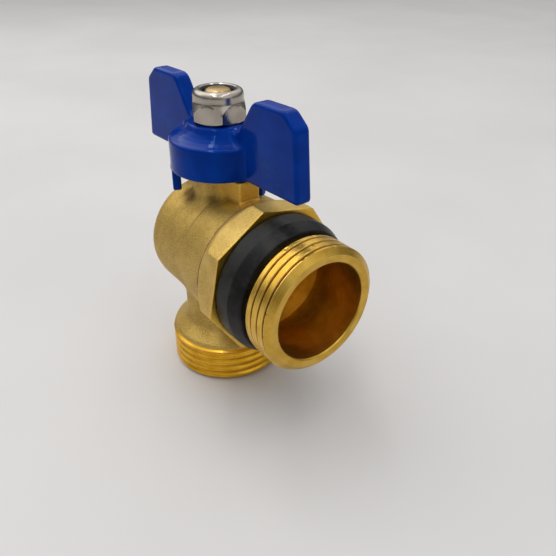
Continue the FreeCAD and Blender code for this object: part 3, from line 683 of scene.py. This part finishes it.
hub_profile = rounded_profile(
    [(-13.2, HUB_BOTTOM), (13.2, HUB_BOTTOM), (13.2, 69.2), (9.2, 70.4), (8.0, HUB_TOP), (-8.0, HUB_TOP),
     (-9.2, 70.4), (-13.2, 69.2)],
    [0.5, 0.5, 0.55, 2.6, 0.25, 0.25, 2.6, 0.55])
wing_outline = rounded_profile(
    [(-33.1, 61.2), (-31.6, 78.4), (-27.6, 81.7), (-16.7, 81.7), (-10.5, 72.5),
     (10.5, 72.5), (16.7, 81.7), (27.6, 81.7), (31.6, 78.4), (33.1, 61.2), (9.0, 61.05), (-9.0, 61.05)],
    [1.2, 1.0, 1.1, 2.0, 1.5, 1.5, 2.0, 1.1, 1.0, 1.2, 0.5, 0.5])


def handle_field(x, y, z):
    """Distance outside the handle: hub, wings and tabs melted together, then the hub's
    hollow and the flat-sided hole for the stem cut out."""
    from_axis = np.hypot(x, y)
    hub = section_distance(from_axis, z, hub_profile)
    out = x * math.cos(WING_TURN) + y * math.sin(WING_TURN)
    across = y * math.cos(WING_TURN) - x * math.sin(WING_TURN)
    wings = slab(section_distance(out, z, wing_outline), across, WING_HALF, WING_EDGE)
    shape = soft_join(hub, wings, 1.6)
    for angle in np.radians(TAB_ANGLES):
        outward = x * np.cos(angle) + y * np.sin(angle)
        aside = np.abs(y * np.cos(angle) - x * np.sin(angle))
        beside, below = aside - TAB_HALF + TAB_FOOT, TAB_BOTTOM - z + TAB_FOOT
        outline = np.minimum(np.maximum(beside, below), 0) - TAB_FOOT
        outline = np.maximum(
            outline + np.hypot(np.maximum(beside, 0), np.maximum(below, 0)), z - HUB_BOTTOM - 1)
        tab = slab(outline, outward - (TAB_INNER + TAB_OUTER) / 2, (TAB_OUTER - TAB_INNER) / 2, TAB_EDGE)
        shape = soft_join(shape, tab, 0.7)
    hollow = rod(from_axis, z, HOLLOW_RADIUS, end=WEB_BOTTOM)
    drive = np.maximum(from_axis - DRIVE_RADIUS, np.abs(x) - DRIVE_HALF)
    return soft_cut(soft_cut(shape, hollow, 0.5), drive, 0.3)


points, faces = level_surface(handle_field, (-34, -14, 54.5), (34, 14, 82.5), 0.32)
handle = make_piece("handle_casting", points, faces, BLUE, "rotor", "blue_enamel", crease=60)
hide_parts("handle")

# %% [markdown]
# ## Threads
#
# Both ports carry the same pipe thread, 11 turns to the inch. A helix could be swept and
# cut away, but on a cylinder the depth at a point depends only on how far along the axis
# it is, less the part of a turn that it has gone round, and one formula gives every point.
# On the side port the crests are broad and flat and the grooves narrow. The outlet's
# thread looks rolled, so there the depth is a soft wave.

# %% Thread depth
PITCH = 25.4 / 11
CREST, ROOT_DEPTH, GROOVE_HALF, WAVE_DEPTH = 16.62, 0.9, 0.42, 0.46
END_CHAMFER, CHAMFER_DEPTH = 1.2, 1.6


def thread_radius(along, angles, start, taper=0.5):
    """Crest radius less the groove: a rounded V centred where the helix phase is a half."""
    phase = (along - start) / PITCH - angles / (2 * math.pi)
    off_centre = np.abs(phase - np.floor(phase) - 0.5) * PITCH
    groove = np.clip(1 - off_centre / GROOVE_HALF, 0, 1)
    groove = groove ** 1.4 * (1.6 - 0.6 * groove) * ROOT_DEPTH
    fade = np.clip((along - start) / taper, 0, 1)
    return CREST - groove * fade


def round_thread_radius(along, angles, start):
    """Crest radius less a soft wave: half of one less a cosine of the phase, made a little
    fuller at the crest, as on the rolled-looking outlet."""
    phase = (along - start) / PITCH - angles / (2 * math.pi)
    wave = (1 - np.cos(2 * math.pi * phase)) / 2
    return CREST - 0.02 - WAVE_DEPTH * wave ** 1.3


print("thread pitch", round(PITCH, 3), "mm, crest", CREST, "mm from the axis")

# %% [markdown]
# ## The side connector
#
# One turned brass piece from its octagonal flange to the threaded end. Cutting an octagon
# out of a cylinder would leave uneven faces, so its section is a closed path of rows, all
# round alike but for the flats. They stop at a cone turned on the rear: there the radius
# is the lesser of the two, and one row of points lies just where they meet.

# %% Octagon
COLLAR_END, OCTAGON_FRONT, FLAT_RADIUS = 16.05, 24.8, 19.0
CONE_START, CONE_SLOPE = 18.1, (20.566 - 18.1) / 4.15
THREAD_START, PORT_END = 34.65, 43.11
CORNER_TURN = math.radians(11.3)
SEGMENTS = 540


def octagon_radius(angles, corner=0.35):
    """The octagon's radius: that of the flats over the cosine of the angle from the middle
    of a flat, less a touch, squared off within some millimetres of each corner."""
    fold = (angles - CORNER_TURN + math.pi / 8) % (math.pi / 4) - math.pi / 8
    from_corner = np.abs(fold)
    radius = FLAT_RADIUS / np.cos(math.pi / 8 - from_corner)
    ease = np.clip(1 - from_corner * FLAT_RADIUS / corner, 0, 1) ** 2 * 0.08
    return radius - ease


angles = np.arange(SEGMENTS) * 2 * math.pi / SEGMENTS + CORNER_TURN
around = np.ones(SEGMENTS)
octagon = octagon_radius(angles)
cone_end = COLLAR_END + (octagon - CONE_START) / CONE_SLOPE
share = np.linspace(0.08, 1, 7)[:, None]
rear_cone = COLLAR_END + (cone_end - COLLAR_END) * share, CONE_START + (octagon - CONE_START) * share
share = np.linspace(0, 1, 9)[1:, None]
flats = cone_end + (OCTAGON_FRONT - 0.15 - cone_end) * share, octagon * np.ones((8, 1))
front_face = rows_of([
    (OCTAGON_FRONT, octagon - 0.15), (OCTAGON_FRONT, 15.4), (OCTAGON_FRONT, 15.1),
    (OCTAGON_FRONT + 0.1, 15.0), (30.0, 15.0), (34.3, 15.0), (34.35, 15.05),
], SEGMENTS)
print("octagon:", round(octagon.max() * 2, 2), "mm over corners,", FLAT_RADIUS * 2, "mm over flats")

# %% [markdown]
# The thread starts at a short cone and ends at a chamfer, so its radius is the least of
# three. Crests get knocked in a toolbox: each nick is a small dent, as deep as a bell curve
# says of how far a point is from it, and their places are drawn from a fixed seed. The tone
# is made darker in the grooves, and a little darker on the end face.

# %% Port thread
NICKS, NICK_LENGTH, END_DARKENING = 26, 0.3, 0.22
thread_rows = np.linspace(THREAD_START, PORT_END, 120)[:, None]
thread = thread_radius(thread_rows, angles, THREAD_START, taper=0.01)
entry = 15.05 + (thread_rows - THREAD_START + 0.02) * 3.0
chamfer = CREST - np.clip(thread_rows - (PORT_END - END_CHAMFER), 0, None) * CHAMFER_DEPTH / END_CHAMFER
thread = np.minimum(np.minimum(thread, entry), chamfer)
nick_seed = np.random.default_rng(7)
nicks = zip(
    nick_seed.uniform(0, 2 * math.pi, NICKS),
    nick_seed.uniform(0.08, 0.26, NICKS),
    nick_seed.uniform(0.008, 0.03, NICKS),
    nick_seed.choice([35.6, 37.6, 39.3, 41.6, 41.8, 41.9], NICKS),
)
for nick_turn, depth, width, x in nicks:
    off = (angles - nick_turn + math.pi) % (2 * math.pi) - math.pi
    thread = thread - depth * np.exp(-(off / width) ** 2 - ((thread_rows - x) / NICK_LENGTH) ** 2)
port_soil = np.clip((CREST - 0.12 - thread) / 0.35, 0, 1) * (thread_rows < PORT_END - END_CHAMFER)
port_soil = np.maximum(port_soil, END_DARKENING * (thread_rows >= PORT_END - END_CHAMFER))
print("port thread:", thread.shape, "points, shallowest radius", round(thread.min(), 2), "mm")

# %% [markdown]
# Past the end face the path goes back inside: a small bevel, the bore, a cone down to the
# ball's seat, and the collar that is screwed into the body. Then it closes on itself.

# %% Connector
RIM_ROWS = 6
port_bore = rows_of([
    (PORT_END, 14.85), (PORT_END, 13.3), (PORT_END - 0.06, 13.17), (PORT_END - 0.3, 12.93),
    (PORT_END - 0.42, 12.86), (PORT_END - 0.7, 12.84), (36.0, 12.84), (30.0, 12.84), (26.1, 12.84),
    (25.9, 12.78), (20.0, 7.85), (19.9, 7.8), (12.2, 7.8), (12.2, 11.45), (8.5, 11.45), (8.5, 14.95),
    (8.55, 15.0), (COLLAR_END, 15.0), (COLLAR_END, 17.62),
], SEGMENTS)
outer_side = [rear_cone, flats, front_face]
along, radius = stacked([*outer_side, (thread_rows * around, thread), port_bore])
thread_first = sum(len(group[0]) for group in outer_side)
thread_last = thread_first + len(thread_rows)
soil = np.zeros(along.shape)
soil[thread_first:thread_last] = port_soil
soil[thread_last:thread_last + RIM_ROWS] = END_DARKENING
connector = turned_piece(
    "side_connector", round_port, along, radius, angles, PORT_BRASS, "valve", "machined_brass", soil=soil)
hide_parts("end_connector")

# %% [markdown]
# The blasted flats and rear cone are matte; everything the lathe cut last is bright. The
# faces know their row, so the second material goes to the rows of the flats and the cone.

# %% Two finishes on the connector
connector.data.materials.append(FORGED_FLATS)
blasted_rows = len(rear_cone[0]) + len(flats[0]) - 1
which = np.zeros(len(connector.data.polygons), np.int32)
which[:blasted_rows * SEGMENTS] = 1
connector.data.polygons.foreach_set("material_index", which)
print("blasted faces:", int(which.sum()))

# %% [markdown]
# ## The outlet thread
#
# The body's lower end: the thread's soft wave cut about the stem's axis, from the floor to
# the shoulder, and the bore inside it. It is one casting with the body, but a lathe made
# it, so it is a turned grid of its own whose top row hides inside the body's lump.

# %% Outlet thread
OUTLET_LENGTH, OUTLET_DARKENING = 11.0, 0.12
rows = np.linspace(0, OUTLET_LENGTH, 150)[:, None]
shape = round_thread_radius(OUTLET_LENGTH - rows, -angles, 0.0)
shape = np.minimum(shape, CREST - np.clip(END_CHAMFER - rows, 0, None) * CHAMFER_DEPTH / END_CHAMFER)
shape = np.minimum(shape, 15.9 + (OUTLET_LENGTH - rows) * 1.2)
outlet_bore = rows_of([
    (OUTLET_LENGTH + 0.05, 15.5), (OUTLET_LENGTH + 0.05, 7.9), (9.1, 12.75), (8.9, 12.84), (4.0, 12.84),
    (0.5, 12.84), (0.2, 12.9), (0.05, 13.05), (0.0, 13.25), (0.0, 14.9),
], SEGMENTS)
height, radius = stacked([(rows * around, shape), outlet_bore])
soil = np.zeros(height.shape)
soil[:len(rows)] = np.clip((CREST - 0.3 - shape) / 0.3, 0, 1) * (rows > END_CHAMFER) * OUTLET_DARKENING
outlet = turned_piece(
    "outlet_thread", round_stem, height, radius, angles, OUTLET_BRASS, "valve", "machined_brass", soil=soil)

# %% [markdown]
# ## The forged body
#
# Barrel, bell, neck and stop lug come from one hot forging, so everything but the lug's
# edges runs softly together. Cut solids would need a fillet on every seam, so it is a field
# again: turned outlines and a block, joined with a generous reach. Then the water ways and
# the stem's bore are cut out, sharp, as a drill leaves them.

# %% Body field
NECK_RADIUS, NECK_TOP = 7.5, 63.0
LUG_CENTRE, LUG_HALF, LUG_EDGE = (8.6, 0.0, 55.2), (4.7, 3.0, 5.5), 0.35
barrel_profile = rounded_profile(
    [(-14, -16.8), (-14, 16.8), (4.7, 16.8), (5.5, 17.3), (16.0, 17.96),
     (16.0, -17.96), (5.5, -17.3), (4.7, -16.8)],
    [4.2, 4.2, 0.35, 0.3, 0.3, 0.3, 0.3, 0.35])
bell_profile = rounded_profile(
    [(-16.15, 11.0), (16.15, 11.0), (16.15, 11.95), (12.0, 15.5), (12.0, 30.0),
     (-12.0, 30.0), (-12.0, 15.5), (-16.15, 11.95)],
    [0.12, 0.12, 0.75, 1.5, 0.1, 0.1, 1.5, 0.75])


def body_field(x, y, z):
    """Distance outside the forging: barrel, bell and neck melted together, lug, hollows."""
    from_port, from_stem = np.hypot(y, z - PORT_HEIGHT), np.hypot(x, y)
    barrel = section_distance(x, from_port, barrel_profile)
    bell = section_distance(from_stem, z, bell_profile)
    neck = rod(from_stem, z, NECK_RADIUS, PORT_HEIGHT + 8, NECK_TOP)
    lug = rounded_block((x, y, z), LUG_CENTRE, LUG_HALF, LUG_EDGE)
    shape = soft_join(soft_join(barrel, bell, 2.2), neck, 2.6)
    shape = soft_join(shape, lug, 0.8)
    water_ways = np.minimum.reduce([
        rod(from_port, x, 13.2, -9, 30),
        rod(from_port, x, 15.05, 8),
        rod(from_port, x, 11.45, -12.2),
        rod(from_stem, z, 7.8, end=PORT_HEIGHT),
    ])
    stem_bore = np.minimum.reduce([
        rod(from_stem, z, 4.55, PORT_HEIGHT),
        rod(from_stem, z, 6.0, 57.0),
        rod(from_stem, z, 6.3, PORT_HEIGHT, 53.3),
    ])
    return np.maximum(shape, -np.minimum(water_ways, stem_bore))


points, faces = level_surface(
    body_field, (-16.9, -18.8, 10.4), (17.0, 18.8, 63.8), 0.36)
forging = make_piece("body_forging", points, faces, FORGED, "valve", "forged_brass", crease=50)
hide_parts("valve_body")
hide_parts("valve_body")

# %% [markdown]
# ## The rubber seal
#
# A moulded ring with a flat shoulder, a ridge and a nose that slopes down to the thread. A
# plain torus would miss the ridge that catches the light, so its profile is turned round
# the port. Rubber is never quite round: two slow sines make its rim sway by a hair.

# %% Seal
seal_profile = rounded_profile(
    [(24.85, 15.12), (24.85, 18.4), (29.7, 18.2), (33.3, 16.85), (33.3, 15.12)],
    [0.15, 0.55, 0.22, 0.5, 0.2], 7)
degrees = np.arange(360) * math.pi / 180
sway = 1 + 0.0015 * np.sin(3 * degrees + 0.5) + 0.001 * np.sin(7 * degrees)
rim = np.where(seal_profile[:, 1:] > 16, sway, 1.0)
seal = turned_piece(
    "rubber_seal", round_port, seal_profile[:, :1], seal_profile[:, 1:] * rim, degrees,
    RUBBER, "valve", "seal_rubber", crease=70)
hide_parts("manifold_seal")

# %% [markdown]
# A thin line of hard brown sealant was squeezed out where the connector meets the body. A
# painted line would look flat from the side, so it is a real bead, a circle carried round
# the joint, and sines of different counts make it thicker here and thinner there.

# %% Sealant bead
bead_turn = np.arange(10)[:, None] * 2 * math.pi / 10
uneven = 0.25 + 0.07 * np.sin(5 * degrees + 1) * np.sin(2 * degrees) + 0.03 * np.sin(23 * degrees)
turned_piece(
    "joint_sealant", round_port, 16.0 + uneven * np.cos(bead_turn), 17.98 + uneven * np.sin(bead_turn),
    degrees, SEALANT, "valve", "machined_brass", crease=80)

# %% [markdown]
# ## The self-locking nut
#
# A hexagon under a round collar, plated after forming. A cone cuts its corners above and
# below, which leaves the curved lines that every nut has. A boolean would do that too, but
# with rows the cone's height is just a slope times how far the hexagon stands out, and the
# rows bend along with it.

# %% Lock nut
NUT_FLAT, NUT_CORNER, NUT_TURN = 6.5, 7.42, math.radians(4)
SHOULDER_TOP, SHOULDER_SLOPE, FOOT_SLOPE = 78.2, 2.2, 0.6
fold = (degrees - NUT_TURN) % (math.pi / 3) - math.pi / 6
hexagon = np.minimum(NUT_FLAT / np.cos(math.pi / 6 - np.abs(fold)), NUT_CORNER)
low_cone = HUB_TOP + 0.02 + (hexagon - 5.9) * FOOT_SLOPE
high_cone = SHOULDER_TOP - (hexagon - NUT_FLAT) * SHOULDER_SLOPE
share = np.linspace(0, 1, 6)[1:-1, None]
collar = rows_of([
    (SHOULDER_TOP + 0.02, 6.5), (78.6, 6.45), (79.2, 6.44), (79.8, 6.45), (80.3, 6.33), (80.7, 6.05),
    (80.95, 5.65), (81.08, 5.2), (81.05, 4.85), (80.85, 4.62), (80.5, 4.56), (80.1, 4.55),
    (80.1, 5.23), (78.2, 5.23), (78.2, 4.03), (HUB_TOP + 0.1, 4.03),
], 360)
nut_height, nut_radius = stacked([
    rows_of([(HUB_TOP + 0.02, 4.05), (HUB_TOP + 0.02, 5.9), (low_cone, hexagon)], 360),
    (low_cone + (high_cone - low_cone) * share, hexagon * np.ones((4, 1))),
    rows_of([(high_cone, hexagon)], 360),
    (high_cone + (SHOULDER_TOP - high_cone) * share, hexagon + (NUT_FLAT - hexagon) * share),
    collar,
])
nut = turned_piece(
    "self_locking_nut", round_stem, nut_height, nut_radius, degrees,
    NICKEL, "rotor", "plated_steel", crease=28)
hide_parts("lock_nut")

# %% [markdown]
# The nut's collar holds a ring of dark nylon that grips the stem's thread. From above it is
# the black line round the stem's end, so its lip stands up to the collar's own.

# %% Nylon insert
insert_profile = rounded_profile(
    [(78.25, 4.08), (78.25, 5.2), (80.05, 5.2), (80.05, 4.53), (80.85, 4.53), (80.85, 4.36), (80.2, 4.08)],
    0.05, 3)
insert = turned_piece(
    "nylon_insert", round_stem, insert_profile[:, :1], insert_profile[:, 1:], degrees,
    NYLON, "rotor", "insert_nylon", crease=40)
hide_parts("lock_nut_insert")

# %% [markdown]
# The stem's tip stands in the nut's collar, turned to a blunt cone. All the rest of the
# stem is right as the CAD made it, so a merged copy of it is taken and only its three top
# rings are drawn in: (old height, new height, new radius).

# %% Stem tip
TIP_RINGS = ((79.73, 79.95, 3.5), (80.08, 80.65, 3.1), (80.33, 81.0, 2.4))
stem_mesh = NODES["stem"].data.copy()
stem_mesh.materials.clear()
stem_shape = bmesh.new()
stem_shape.from_mesh(stem_mesh)
bmesh.ops.remove_doubles(stem_shape, verts=stem_shape.verts, dist=1e-6)
stem_shape.to_mesh(stem_mesh)
stem_shape.free()
place = np.empty(len(stem_mesh.vertices) * 3, np.float32)
stem_mesh.vertices.foreach_get("co", place)
place = place.reshape(-1, 3) / MM
for old_height, new_height, new_radius in TIP_RINGS:
    ring = (np.abs(place[:, 2] - old_height) < 0.02) & (np.hypot(place[:, 0], place[:, 1]) > 1.0)
    place[ring, :2] *= new_radius / np.hypot(place[ring, 0], place[ring, 1])[:, None]
    place[ring, 2] = new_height
stem_mesh.vertices.foreach_set("co", (place * MM).astype(np.float32).ravel())
stem_mesh.shade_smooth()
stem_mesh.set_sharp_from_angle(angle=math.radians(30))
note_bends(stem_mesh)
stem_mesh.materials.append(STEM_BRASS)
stem = bpy.data.objects.new("valve_stem", stem_mesh)
bpy.context.scene.collection.objects.link(stem)
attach(stem, "rotor")
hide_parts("stem")
print("stem points:", len(stem_mesh.vertices))

# %% [markdown]
# ## The pieces that keep their CAD shape
#
# The ball, seats, washer, rings and gland nut are right as the CAD made them. Each only
# trades its plain material for one of the finishes above.

# %% Finishes on CAD nodes
CAD_FINISHES = {
    "ball": CHROME,
    "seat_ring_front": PTFE,
    "seat_ring_rear": PTFE,
    "thrust_washer": PTFE,
    "stem_o_ring": RUBBER,
    "packing_ring_lower": PTFE,
    "packing_ring_upper": PTFE,
    "packing_nut": STEM_BRASS,
}
for node, finish in CAD_FINISHES.items():
    mesh = NODES[node].data
    mesh.materials.clear()
    mesh.materials.append(finish)
print("repainted:", len(CAD_FINISHES))

# %% [markdown]
# ## Floor and light
#
# The valve stands on a pale seamless floor. It is a plane far larger than the picture, with
# a little cloud in its tone, and it darkens softly far to the left, where the light of the
# room falls off.

# %% Floor
FLOOR_REACH = 3.0
floor_corners = [
    (-FLOOR_REACH, -FLOOR_REACH, 0), (FLOOR_REACH, -FLOOR_REACH, 0),
    (FLOOR_REACH, FLOOR_REACH, 0), (-FLOOR_REACH, FLOOR_REACH, 0),
]
floor_mesh = bpy.data.meshes.new("floor")
floor_mesh.from_pydata(floor_corners, [], [(0, 1, 2, 3)])
floor = bpy.data.objects.new("floor", floor_mesh)
bpy.context.scene.collection.objects.link(floor)
floor_finish, floor_tree, floor_shader = new_finish("pale_floor", Roughness=0.6, Specular_IOR_Level=0.12)
floor_where = object_place(floor_tree)
floor_cloud = remap(floor_tree, noise(floor_tree, floor_where, 8.0, detail=3.0), 0.3, 0.7)
floor_tone = blend_colours(floor_tree, floor_cloud, (0.555, 0.543, 0.539), (0.59, 0.579, 0.575))
far_left = add_node(
    floor_tree, "ShaderNodeVectorMath", {0: floor_where, 1: (-0.98, 0.2, 0)}, operation="DOT_PRODUCT")
shade = remap(floor_tree, far_left.outputs["Value"], 0.50, 0.95, 0.0, 0.35)
floor_tone = lay_over(floor_tree, floor_tone, (0.36, 0.355, 0.35), shade)
floor_tree.links.new(floor_tone, floor_shader.inputs["Base Color"])
floor_mesh.materials.append(floor_finish)
print("floor:", 2 * FLOOR_REACH, "m wide")

# %% [markdown]
# Soft light from a large lamp on the left, like a window, models the casting and throws the
# soft shadow. Gloss needs something narrow to mirror, so two long strips hang overhead and
# draw the bright streaks on the hub, the nut and the threads. A weak lamp fills from the
# right.

# %% Lamps
CENTRE, STRIP_HEIGHT, STRIP_LENGTH, STRIP_AWAY = Vector((0, 0, 0.04)), 0.9, 1.2, -0.15


def hang_lamp(name, lamp, place, turn):
    """Hang a lamp at a place, turned by a matrix."""
    holder = bpy.data.objects.new(name, lamp)
    holder.matrix_world = Matrix.Translation(place) @ turn
    bpy.context.scene.collection.objects.link(holder)


def soft_lamp(name, place, size, power, colour=(1, 1, 1)):
    """A square lamp that faces the valve."""
    lamp = bpy.data.lights.new(name, "AREA")
    lamp.size, lamp.energy, lamp.color = size, power, colour
    facing = (CENTRE - Vector(place)).to_track_quat("-Z", "Y").to_matrix().to_4x4()
    hang_lamp(name, lamp, place, facing)


def strip_lamp(name, aside, width, power):
    """A long narrow lamp overhead that runs along the camera's line of sight, some way to
    the right of the valve."""
    lamp = bpy.data.lights.new(name, "AREA")
    lamp.shape, lamp.size, lamp.size_y, lamp.energy = "RECTANGLE", width, STRIP_LENGTH, power
    behind = Vector((-back.x, -back.y, 0)).normalized()
    down = Matrix((level, behind, level.cross(behind))).transposed().to_4x4()
    hang_lamp(name, lamp, level * aside + behind * STRIP_AWAY + Vector((0, 0, STRIP_HEIGHT)), down)


soft_lamp("window", (-0.50, -0.20, 0.72), 0.9, 2.6, (1.0, 0.98, 0.96))
strip_lamp("strip_left", -0.15, 0.05, 2.2)
strip_lamp("strip_right", 0.27, 0.04, 1.4)
soft_lamp("fill", (0.55, 0.10, 0.30), 0.5, 0.25)
print("lamps:", [lamp.name for lamp in bpy.data.lights])

# %% [markdown]
# The room itself is a sky: bright above and dimmer near the floor, which gives brass its
# contrast, with one pale wall behind the valve that the wings and the nut mirror. A picture
# of a room would do as well, but two smooth blends are enough for such small mirrors.

# %% Sky
WALL_SIDE, WALL_SHARE = (-0.66, 0.50, 0.56), 0.55
sky = bpy.data.worlds.new("room")
bpy.context.scene.world = sky
sky.use_nodes = True
sky_tree = sky.node_tree
sky_where = add_node(sky_tree, "ShaderNodeTexCoord").outputs["Generated"]
sky_up = add_node(sky_tree, "ShaderNodeSeparateXYZ", {"Vector": sky_where}).outputs["Z"]
sky_tone = blend_colours(sky_tree, remap(sky_tree, sky_up, 0.0, 0.75), (0.16, 0.155, 0.15), (1.0, 1.0, 1.0))
wall = add_node(sky_tree, "ShaderNodeVectorMath", {0: sky_where, 1: WALL_SIDE}, operation="DOT_PRODUCT")
wall_glow = remap(sky_tree, wall.outputs["Value"], 0.72, 0.97, 0.0, WALL_SHARE)
wall_glow = arithmetic(sky_tree, "MULTIPLY", wall_glow, remap(sky_tree, sky_up, 0.24, 0.46))
sky_tone = lay_over(sky_tree, sky_tone, (2.0, 2.0, 2.0), wall_glow)
background = sky_tree.nodes["Background"]
sky_tree.links.new(sky_tone, background.inputs["Color"])
background.inputs["Strength"].default_value = 0.75
bpy.context.scene.view_settings.view_transform = "Standard"
print("room strength", background.inputs["Strength"].default_value)
